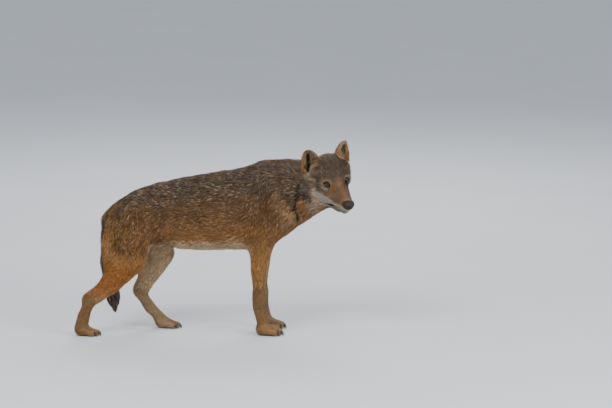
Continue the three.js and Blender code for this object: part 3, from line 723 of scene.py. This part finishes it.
def mark_lips(w):
    """A dark line between the lips, widest at their corner."""
    corner = step(hypot3((w.hx - 0.046) / 2.2, w.hz + 0.0725, 0), 0.0065, 0.0035)
    corner = corner * step(w.hy, 0.02, 0.03)
    fade = 1 - 0.6 * step(w.hx, 0.055, 0.07)
    closed = step(lip_line(w.h), 0.0038, 0.0018) * step(w.hx, 0.018, 0.03) * fade
    w.wash_head("dark", np.maximum(corner, closed))


def markings(points, out):
    """The share of each zone at points of the hide that face `out`."""
    w = Washes(points, out)
    for mark in (mark_trunk, mark_legs, mark_neck_and_tail, mark_face, mark_eyes, mark_ears, mark_lips):
        mark(w)
    return np.stack([w.share[zone] for zone in ZONES], 1)


class Shade:
    """A socket of a material's nodes, which takes part in sums."""

    def __init__(self, tree, socket=None):
        self.tree, self.socket = tree, socket

    def node(self, kind, settings=None, inputs=None, output=0):
        made = self.tree.nodes.new(kind)
        for name, value in (settings or {}).items():
            setattr(made, name, value)
        for name, value in (inputs or {}).items():
            if isinstance(value, Shade):
                self.tree.links.new(value.socket, made.inputs[name])
            else:
                made.inputs[name].default_value = value
        return Shade(self.tree, made.outputs[output])

    def sum(self, operation, a, b):
        return self.node("ShaderNodeMath", {"operation": operation}, {0: a, 1: b})

    def __add__(self, other):
        return self.sum("ADD", self, other)

    def __sub__(self, other):
        return self.sum("SUBTRACT", self, other)

    def __rsub__(self, other):
        return self.sum("SUBTRACT", other, self)

    def __mul__(self, other):
        return self.sum("MULTIPLY", self, other)

    __radd__, __rmul__ = __add__, __mul__

    def vector(self, operation, other, output=0):
        inputs = {0: self, 1: other}
        return self.node("ShaderNodeVectorMath", {"operation": operation}, inputs, output)

    def mix(self, other, factor, blend="MIX"):
        settings = {"data_type": "RGBA", "blend_type": blend, "clamp_factor": True}
        return self.node("ShaderNodeMix", settings, {0: factor, 6: self, 7: other}, output=2)

    def between(self, low, high):
        """A colour that goes from low to high as this goes from 0 to 1."""
        inputs = {0: self, 6: (*low, 1), 7: (*high, 1)}
        return self.node("ShaderNodeMix", {"data_type": "RGBA"}, inputs, output=2)

    def place(self):
        return self.node("ShaderNodeTexCoord", output=3)

    def noise(self, place, scale, detail=3.0):
        inputs = {"Vector": place, "Scale": scale, "Detail": detail}
        return self.node("ShaderNodeTexNoise", {}, inputs)

    def rising(self, low, high):
        """0 where this is below low, 1 above high, smooth between."""
        inputs = {"Value": self, "From Min": low, "From Max": high}
        return self.node("ShaderNodeMapRange", {"interpolation_type": "SMOOTHSTEP"}, inputs)

    def bump(self, height, strength, distance):
        inputs = {"Height": height, "Strength": strength, "Distance": distance}
        return self.node("ShaderNodeBump", {}, inputs)


def material(name, roughness, specular=0.5, **fixed):
    """A material with its numbers set, and its node tree to shade it by."""
    made = bpy.data.materials.new(name)
    made.use_nodes = True
    shader = made.node_tree.nodes["Principled BSDF"]
    shader.inputs["Roughness"].default_value = roughness
    shader.inputs["Specular IOR Level"].default_value = specular
    for socket, value in fixed.items():
        shader.inputs[socket.replace("_", " ")].default_value = value
    return made, Shade(made.node_tree), shader.inputs


def link(value, socket):
    value.tree.links.new(value.socket, socket)


def ridden(name, mesh, finish):
    """A mesh as a piece of the animal, in its finish and slot, riding on its body."""
    mesh.materials.append(finish)
    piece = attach(placed(name, mesh), "root")
    return piece


def finished(name, bm, finish):
    """A bmesh as a smooth piece of the animal."""
    mesh = mesh_of(name, bm)
    bm.free()
    mesh.polygons.foreach_set("use_smooth", [True] * len(mesh.polygons))
    return ridden(name, mesh, finish)


def painted(mesh, colours):
    """Gives each corner of a mesh its own colour."""
    layer = mesh.color_attributes.new("pelage", "FLOAT_COLOR", "POINT")
    full = np.ones((len(colours), 4), np.float32)
    full[:, :3] = colours
    layer.data.foreach_set("color", full.ravel())


skin_finish, shade, skin_sockets = material("skin", 0.8, specular=0.2)
pelage = shade.node("ShaderNodeAttribute", {"attribute_name": "pelage"})
grain = shade.noise(shade.place(), 900.0)
dim = grain.between((0.55, 0.53, 0.5), (1, 1, 1))
link(pelage.mix(dim, 1.0, "MULTIPLY"), skin_sockets["Base Color"])
link(grain * 0.3 + 0.62, skin_sockets["Roughness"])
link(shade.bump(grain, 0.6, 0.001), skin_sockets["Normal"])

skin_points, skin_out = corners(hide), facings(hide)
blend = markings(skin_points, skin_out) @ ZONE_BLEND
skin = finished("hide", hide, skin_finish)
painted(skin.data, blend @ (0.6 * PELT_COLOURS[:, 0] + 0.4 * PELT_COLOURS[:, 1]))
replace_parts(skin, *TRUNK, *LEGS, *FACE, *TAIL)

bpy.context.view_layer.objects.active = skin
skin.select_set(True)
bpy.ops.object.mode_set(mode="EDIT")
bpy.ops.mesh.select_all(action="SELECT")
bpy.ops.uv.smart_project(angle_limit=math.radians(66), island_margin=0.001)
bpy.ops.object.mode_set(mode="OBJECT")
skin.data.uv_layers[0].name = "OFBake"
skin.select_set(False)

# ---------------------------------------------------------------- the coat
# Small tapered locks of hair, rooted all over the hide and lying along it, whose tips make the
# animal's outline. A short lock is a straight spike; a long one has a bend at its middle.

COVER = 8.6  # how many locks lie over each spot
LONG = 0.021  # a lock longer than this bends
SKETCH = 1.0  # the share of locks grown
ROOTED = 0.0012  # how deep a lock is set in the hide
PATCH = 0.003  # a lock's own place on the unwrap is this wide


def lock_width(length):
    return 0.0010 + 0.040 * length


def gathered(items, key, width, kind=np.float32):
    """One value of each item of a mesh, as the rows of an array."""
    flat = np.empty(len(items) * width, kind)
    items.foreach_get(key, flat)
    return flat.reshape(-1, width)


def sown(mesh, seed):
    """Roots spread over the hide: their places, facings, and places on its unwrap."""
    rng = np.random.default_rng(seed)
    mesh.calc_loop_triangles()
    tri = gathered(mesh.loop_triangles, "vertices", 3, np.int32)
    loops = gathered(mesh.loop_triangles, "loops", 3, np.int32)
    co = gathered(mesh.vertices, "co", 3).astype(float)
    normal = gathered(mesh.vertices, "normal", 3).astype(float)
    uv = gathered(mesh.uv_layers["OFBake"].data, "uv", 2)
    a, b, c = co[tri[:, 0]], co[tri[:, 1]], co[tri[:, 2]]
    area = np.sqrt((np.cross(b - a, c - a) ** 2).sum(1)) / 2
    length = lie.read((a + b + c) / 3)[2]
    wanted = area * SKETCH * COVER / (length * lock_width(length))
    heap = np.cumsum(wanted)
    marks = np.arange(int(heap[-1])) + rng.random(int(heap[-1]))
    face = np.searchsorted(heap, marks[marks < heap[-1]])
    r = rng.random((len(face), 2))
    fold = r.sum(1) > 1
    r[fold] = 1 - r[fold]
    share = np.column_stack((1 - r.sum(1), r))[..., None]
    roots = (co[tri[face]] * share).sum(1)
    out = (normal[tri[face]] * share).sum(1)
    out /= np.linalg.norm(out, axis=1, keepdims=True)
    return roots, out, (uv[loops[face]] * share).sum(1)


def onto(tree, points):
    """The nearest places of a surface to points, with the way it faces there."""
    found = [tree.find_nearest(p) for p in points]
    at, facing = ([f[i] for f in found] for i in (0, 1))
    return np.array(at).reshape(-1, 3), np.array(facing).reshape(-1, 3)


def unit(v):
    """Each row of an array, one long."""
    return v / np.maximum(np.linalg.norm(v, axis=1, keepdims=True), 1e-9)


def along(flow, out):
    """Flow laid flat on a surface that faces out."""
    return unit(flow - out * (flow * out).sum(1, keepdims=True))


def held_inside(tips, proud):
    """Tips that pass the animal's outline are drawn back to just over it."""
    tail_at = tail_zone(tips)
    for tree, use in ((OUTLINE, ~tail_at), (TAIL_OUTLINE, tail_at)):
        near, facing = onto(tree, tips[use])
        past = ((tips[use] - near) * facing).sum(1)
        tips[use] = np.where((past > proud)[:, None], near + facing * proud, tips[use])
    return tips


def bald(points, out):
    """Where no hair grows: the eyes, the lips' edge, the nose and the soles."""
    h = seen_from(HEAD, points)
    none = (lip_line(h) < 0.0022) & (h[:, 0] > 0.02) & (h[:, 0] < 0.13)
    none |= np.linalg.norm((h - np.array(NOSE_AT)) / np.array(NOSE_RADII), axis=1) < 1.06
    for side in SIDES.values():
        off, ahead, wide, down = eye_view(points, side)
        rim = np.hypot(wide / EYE_RIM[0], down / EYE_RIM[1])
        none |= (rim < 1.05) & (ahead > 0) & (np.linalg.norm(off, axis=1) < 0.03)
    none |= to_claws(points) < 0.009
    return none | ((points[:, 2] < 0.004) & (out[:, 2] < -0.5))


rng = np.random.default_rng(11)
roots, out, places = sown(skin.data, seed=5)
grown = ~bald(roots, out)
roots, out, places = roots[grown], out[grown], places[grown]
flow, depth, length = lie.read(roots)
skin_tree = BVHTree.FromPolygons(
    [v.co for v in skin.data.vertices], [p.vertices for p in skin.data.polygons]
)

# Inside the ears, longer hair stands across the opening from its inner edge.
face_out = out @ np.array(HEAD.to_3x3())
for name in EARS:
    ear, inside, up, aside = ear_places(roots, seen_from(HEAD, roots), face_out, name)
    opens, across, upward = (np.array(HEAD.to_3x3()) @ axis for axis in ear_axes(name))
    length[ear > 0.5] = np.minimum(length[ear > 0.5], 0.013)
    depth[ear > 0.5] = np.minimum(depth[ear > 0.5], 0.003)
    tufted = (ear > 0) & (inside > 0.2) & (aside < 0.0) & (up > 0.05) & (up < 0.65)
    flow[tufted] = 0.9 * upward + 0.2 * across + 0.35 * opens
    length[tufted], depth[tufted] = 0.017, 0.006

# Locks lean together in clumps, and each one strays a little.
sway = np.cross(out, along(flow, out))
clump = ripple(roots, 0.045, 21) * 0.13 + ripple(roots, 0.016, 22) * 0.13
stray = clump + rng.normal(0, 0.09, len(roots))
run = unit(along(flow, out) + sway * stray[:, None])
length = length * rng.uniform(0.75, 1.2, len(roots))
rise = depth * (1 + 0.16 * ripple(roots, 0.03, 23)) * rng.uniform(0.7, 1.3, len(roots))
rise = np.minimum(rise, 0.75 * length)

# A lock takes the colours that are marked where its middle lies: one pelt of its zone's own,
# softened by the zone's average. Pelts change more from patch to patch on the grizzled parts.
GRIZZLED = [list(ZONES).index(zone) for zone in ("back", "thigh", "cape", "tail")]
shown = markings(roots + run * 0.45 * length[:, None], out)
share = shown @ ZONE_BLEND
pick = rng.random(len(roots))[:, None]
grizzled = shown[:, GRIZZLED].sum(1)
patches = 0.6 * ripple(roots, 0.011, 24) + 0.6 * ripple(roots, 0.02, 27)
patchy = np.clip(pick[:, 0] + (0.08 + 0.25 * grizzled) * patches, 0, 0.999)[:, None]
pelt = (patchy > np.cumsum(share, 1) / share.sum(1, keepdims=True)).sum(1)
tint = rng.normal(1, 0.13, (len(roots), 1)) * (1 + rng.normal(0, 0.02, (len(roots), 3)))
flat_colours = PELT_COLOURS.reshape(len(PELTS), -1)
average = share @ flat_colours / share.sum(1, keepdims=True)
own = flat_colours[pelt]
mottle = 1 + (0.08 + 0.12 * grizzled) * ripple(roots, 0.009, 25) + 0.07 * ripple(roots, 0.03, 26)
tint = tint * mottle[:, None]
bold = 0.5 + 0.25 * np.maximum(grizzled, length < LONG)[:, None]
colours = ((1 - bold) * average + bold * own).reshape(-1, 3, 3) * np.clip(tint, 0.6, 1.5)[:, None]

coat_finish, shade, coat_sockets = material("coat", 0.6, specular=0.14)
pelage = shade.node("ShaderNodeAttribute", {"attribute_name": "pelage"})
grain = shade.noise(shade.place(), 700.0, 2.0)
dim = grain.between((0.75, 0.74, 0.72), (1.2, 1.2, 1.2))
link(pelage.mix(dim, 1.0, "MULTIPLY"), coat_sockets["Base Color"])
link(grain * 0.25 + 0.5, coat_sockets["Roughness"])


def grow(name, pick, bends):
    """One piece of locks: rings of three corners, one ring for a spike and two where it bends."""
    base, n, d = roots[pick], out[pick], run[pick]
    reach, lift = length[pick][:, None], rise[pick][:, None]
    wide = lock_width(reach) / 2
    across = np.cross(n, d)
    foot = base - n * ROOTED
    if bends:
        middle, m_out = onto(skin_tree, base + d * reach * 0.5)
        m_run = along(d, m_out)
        tip, t_out = onto(skin_tree, middle + m_run * reach * 0.5)
        middle = middle + m_out * lift * 0.72
        tip = held_inside(tip + t_out * lift, 0.002)
        rings = [(foot, 0.55), (middle, 1.0)]
    else:
        tip = held_inside(base + d * reach + n * lift, 0.001)
        rings = [(foot, 1.0)]
    corners_of = []
    for centre, fat in rings:
        w = wide * fat
        corners_of += [centre - across * w, centre + across * w, centre + n * w * 0.8]
    corners_of.append(tip)
    per_lock = len(corners_of)
    co = np.stack(corners_of, 1)
    co[..., 2] = np.maximum(co[..., 2], 0.0)  # none reaches through the floor
    pattern = [(0, 1, 2)]
    for r in range(len(rings) - 1):
        for k in range(3):
            a, b = 3 * r + k, 3 * r + (k + 1) % 3
            pattern += [(a, a + 3, b), (b, a + 3, b + 3)]
    last = 3 * (len(rings) - 1)
    pattern += [(last + k, per_lock - 1, last + (k + 1) % 3) for k in range(3)]
    pattern = np.array(pattern)
    faces = (pattern[None] + per_lock * np.arange(len(base))[:, None, None]).reshape(-1, 3)
    mesh = bpy.data.meshes.new(name)
    mesh.vertices.add(len(base) * per_lock)
    mesh.vertices.foreach_set("co", co.astype(np.float32).ravel())
    mesh.loops.add(faces.size)
    mesh.loops.foreach_set("vertex_index", faces.astype(np.int32).ravel())
    mesh.polygons.add(len(faces))
    mesh.polygons.foreach_set("loop_start", np.arange(0, faces.size, 3, dtype=np.int32))
    mesh.polygons.foreach_set("loop_total", np.full(len(faces), 3, np.int32))
    mesh.polygons.foreach_set("use_smooth", np.ones(len(faces), bool))
    stage = ([0] * 3 + [1] * 3 + [2]) if bends else ([0] * 3 + [2])
    painted(mesh, colours[pick][:, stage].reshape(-1, 3))
    spread = np.array([(-0.5, 0), (0.5, 0), (0, 0)] * len(rings) + [(0, 1)])
    for r in range(len(rings)):
        spread[3 * r : 3 * r + 3, 1] = 0.5 * r
    uv = places[pick][:, None] + spread[None] * PATCH
    layer = mesh.uv_layers.new(name="OFBake")
    layer.data.foreach_set("uv", uv.reshape(-1, 2)[faces.ravel()].astype(np.float32).ravel())
    mesh.validate()
    ridden(name, mesh, coat_finish)


order = rng.permutation(len(roots))
bent = length[order] > LONG
for kind, chosen, most in (("coat", order[bent], 19000), ("short_coat", order[~bent], 48000)):
    parts = math.ceil(len(chosen) / most)
    for i in range(parts):
        grow(f"{kind}_{i + 1}", chosen[i::parts], kind == "coat")

# ---------------------------------------------------------------- eyes
# Two glass balls, each with a brown iris and a round pupil painted behind its clear front, and
# set in a socket of the hide. The lids' bare black edge is a ring round each opening.

PUPIL, SCLERA = (0.006, 0.005, 0.004, 1), (0.012, 0.009, 0.007, 1)

for name, side in SIDES.items():
    middle, gaze, wide_axis, down_axis = eye_axes(side)
    ball = bmesh.new()
    bmesh.ops.create_uvsphere(ball, u_segments=40, v_segments=24, radius=EYE["radius"])
    turn = Matrix((wide_axis, down_axis, gaze)).transposed()
    bmesh.ops.transform(ball, matrix=Matrix.Translation(middle) @ turn.to_4x4(), verts=ball.verts)
    bmesh.ops.recalc_face_normals(ball, faces=ball.faces)
    finish, shade, sockets = material(
        f"eye_{name}", 0.3, specular=0.1, Coat_Roughness=0.02, Coat_Weight=0.8
    )
    off = shade.place().vector("SUBTRACT", tuple(middle))
    ahead = off.vector("DOT_PRODUCT", tuple(gaze), output=1) * (1 / EYE["radius"])
    iris = shade.noise(off, 900.0, 4.0).between((0.045, 0.020, 0.007), (0.15, 0.075, 0.024))
    colour = iris.mix(PUPIL, ahead.rising(0.88, 0.90))
    colour = colour.mix(SCLERA, 1 - ahead.rising(0.66, 0.72))
    link(colour, sockets["Base Color"])
    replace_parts(finished(f"eye_{name}_ball", ball, finish), f"eye_{name}")

# The edge of the lids is rounded in section and lies on the ball.

lid_finish, shade, lid_sockets = material("lid", 0.6, specular=0.15)
folds = shade.noise(shade.place(), 1200.0)
link(folds.between((0.004, 0.003, 0.003), (0.012, 0.010, 0.008)), lid_sockets["Base Color"])
link(shade.bump(folds, 0.5, 0.0006), lid_sockets["Normal"])

# How far out each ring of the edge runs, as a share of the opening, and its lift off the ball.
LID_RINGS = ((0.90, -0.0010), (0.93, 0.0007), (1.04, 0.0014), (1.18, 0.0011), (1.42, -0.0014))
for name, side in SIDES.items():
    middle, gaze, wide_axis, down_axis = eye_axes(side)
    lid = bmesh.new()
    rings = []
    for wider, lift in LID_RINGS:
        ring = bmesh.ops.create_circle(lid, segments=36, radius=1.0)["verts"]
        for v in ring:
            across = OPENING["half_width"] * math.copysign(abs(v.co.x) ** 1.15, v.co.x) * wider
            down = OPENING["half_height"] * v.co.y * wider
            span = EYE["radius"] + lift
            ahead = math.sqrt(max(span**2 - across * across - down * down, 1e-8))
            v.co = middle + wide_axis * across + down_axis * down + gaze * ahead
        rings.append([e for e in lid.edges if e.verts[0] in ring and e.verts[1] in ring])
    for inner, outer in zip(rings, rings[1:]):
        bmesh.ops.bridge_loops(lid, edges=inner + outer)
    bmesh.ops.bridge_loops(lid, edges=rings[-1] + rings[0])
    bmesh.ops.subdivide_edges(lid, edges=lid.edges, cuts=1, smooth=0.6, use_grid_fill=True)
    bmesh.ops.recalc_face_normals(lid, faces=lid.faces)
    finished(f"lids_{name}", lid, lid_finish)

# ---------------------------------------------------------------- nose
# A pad of bare, pebbled, moist skin with two nostrils and a groove below them. It closes the
# end of the muzzle, and the hide meets it all round.



def hill(*slopes):
    """1 where every slope is 0, falling smoothly to 0 as any grows past 1."""
    return math.exp(-sum(slope**2 for slope in slopes))


pad = bmesh.new()
bmesh.ops.create_icosphere(pad, subdivisions=5, radius=1.0)
for v in pad.verts:
    x, y, z = v.co.x, abs(v.co.y), v.co.z
    ahead = max(x, 0)
    wing = hill((y - 0.62) / 0.3, (z + 0.05) / 0.5) * ahead
    hole = hill((y - 0.44) / 0.17, (z + 0.12 + 0.5 * (y - 0.44)) / 0.19)
    slit = hill((y - 0.86) / 0.22, (z + 0.30) / 0.09)
    groove = hill(y / 0.07) * max(0.0, min(1.0, (0.1 - z) / 0.4))
    push = 1 + 0.10 * wing - ahead * (0.42 * hole + 0.22 * groove) - 0.14 * slit
    square = (abs(x) ** 3 + y**3 + abs(z) ** 3) ** (-1 / 3)
    v.co = v.co * (0.6 + 0.4 * square) * push
    v.co.y *= 1.0 + 0.22 * v.co.z
nose_place = HEAD @ Matrix.Translation(NOSE_AT) @ Matrix.Diagonal((*NOSE_RADII, 1))
bmesh.ops.transform(pad, matrix=nose_place, verts=pad.verts)
bmesh.ops.recalc_face_normals(pad, faces=pad.faces)
nose_finish, shade, nose_sockets = material("nose", 0.45, specular=0.22)
place = shade.place()
pebbles = shade.node(
    "ShaderNodeTexVoronoi", {"feature": "DISTANCE_TO_EDGE"}, {"Vector": place, "Scale": 900.0}
)
cloud = shade.noise(place, 130.0)
link(cloud.between((0.012, 0.008, 0.006), (0.036, 0.024, 0.018)), nose_sockets["Base Color"])
link(cloud * 0.3 + 0.35, nose_sockets["Roughness"])
link(shade.bump(pebbles * 2.0, 0.5, 0.0006), nose_sockets["Normal"])
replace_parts(finished("nose_pad", pad, nose_finish), "nose")

# ---------------------------------------------------------------- claws
# Blunt, curved, dark horn, one from the end of each toe, and a dewclaw inside each wrist. The
# root of each is set in the hide.

# Each ring's place as a share of the length, its radius, and its rise.
CLAW_RINGS = (
    (0.0, 0.0046, 0.0),
    (0.35, 0.0042, 0.0006),
    (0.7, 0.0030, -0.0016),
    (0.93, 0.0014, -0.0052),
)
CLAW_LENGTH = 0.020
CLAW_ROOT = Vector((-0.011, 0, 0.003))  # from a claw's tip
DEWCLAWS = ((0.188, -0.048), (0.198, 0.048))
DEWCLAW_HEIGHT = 0.105
horn = bmesh.new()


def claw(at, size=1.0, droop=0.45):
    """One claw, as rings drawn out along a curve to a blunt point."""
    rings = []
    place = Matrix.Translation(at) @ Matrix.Rotation(droop, 4, "Y") @ Matrix.Scale(size, 4)
    for far, radius, lift in CLAW_RINGS:
        capped = far in (CLAW_RINGS[0][0], CLAW_RINGS[-1][0])
        ring = bmesh.ops.create_circle(horn, segments=10, radius=radius, cap_ends=capped)["verts"]
        for v in ring:
            v.co = place @ Vector((far * CLAW_LENGTH, v.co.x * 0.75, v.co.y + lift))
        rings.append([e for v in ring for e in v.link_edges if e.other_vert(v) in ring])
    for a, b in zip(rings, rings[1:]):
        bmesh.ops.bridge_loops(horn, edges=list(set(a + b)))


for tip in CLAW_TIPS:
    claw(MIDDLE + Vector(tip) + CLAW_ROOT, size=1.15)
for x, y in DEWCLAWS:
    claw(MIDDLE + Vector((x, y, DEWCLAW_HEIGHT)), size=0.8, droop=1.1)
bmesh.ops.recalc_face_normals(horn, faces=horn.faces)
horn_finish, shade, horn_sockets = material("horn", 0.35, specular=0.5)
drawn_out = {"Vector": shade.place(), "Scale": (200.0, 900.0, 900.0)}
streaks = shade.noise(shade.node("ShaderNodeMapping", {}, drawn_out), 1.0, 2.0)
link(streaks.between((0.02, 0.016, 0.013), (0.09, 0.07, 0.055)), horn_sockets["Base Color"])
link(streaks * 0.3 + 0.25, horn_sockets["Roughness"])
finished("claws", horn, horn_finish)

# ---------------------------------------------------------------- floor, light
# A plain pale floor, which is no part of the animal, under soft, even studio light from above
# and in front, with a little from behind.

floor = bmesh.new()
bmesh.ops.create_grid(floor, x_segments=1, y_segments=1, size=60)
floor_mesh = mesh_of("floor", floor)
floor.free()
floor_finish, shade, floor_sockets = material("floor", 0.9, specular=0.1)
mottle = shade.noise(shade.place(), 2.0)
link(mottle.between((0.60, 0.62, 0.64), (0.66, 0.67, 0.69)), floor_sockets["Base Color"])
floor_mesh.materials.append(floor_finish)
placed("floor", floor_mesh)


def soft_light(name, at, size, power, aim=(0, 0, 0.4)):
    """A round lamp that faces its aim."""
    lamp = bpy.data.lights.new(name, "AREA")
    lamp.shape, lamp.size, lamp.energy = "DISK", size, power
    held = placed(name, lamp)
    held.location = at
    held.rotation_euler = (Vector(aim) - Vector(at)).to_track_quat("-Z", "Y").to_euler()


soft_light("key", (-2.0, -3.6, 4.2), 3.0, 230)
soft_light("fill", (3.4, -2.6, 2.2), 3.0, 140)
soft_light("back", (0.5, 3.6, 3.4), 3.0, 120)
world = bpy.data.worlds.new("studio")
world.use_nodes = True
sky = world.node_tree.nodes["Background"].inputs
sky["Color"].default_value = (0.86, 0.92, 1.0, 1)
sky["Strength"].default_value = 0.75
bpy.context.scene.world = world
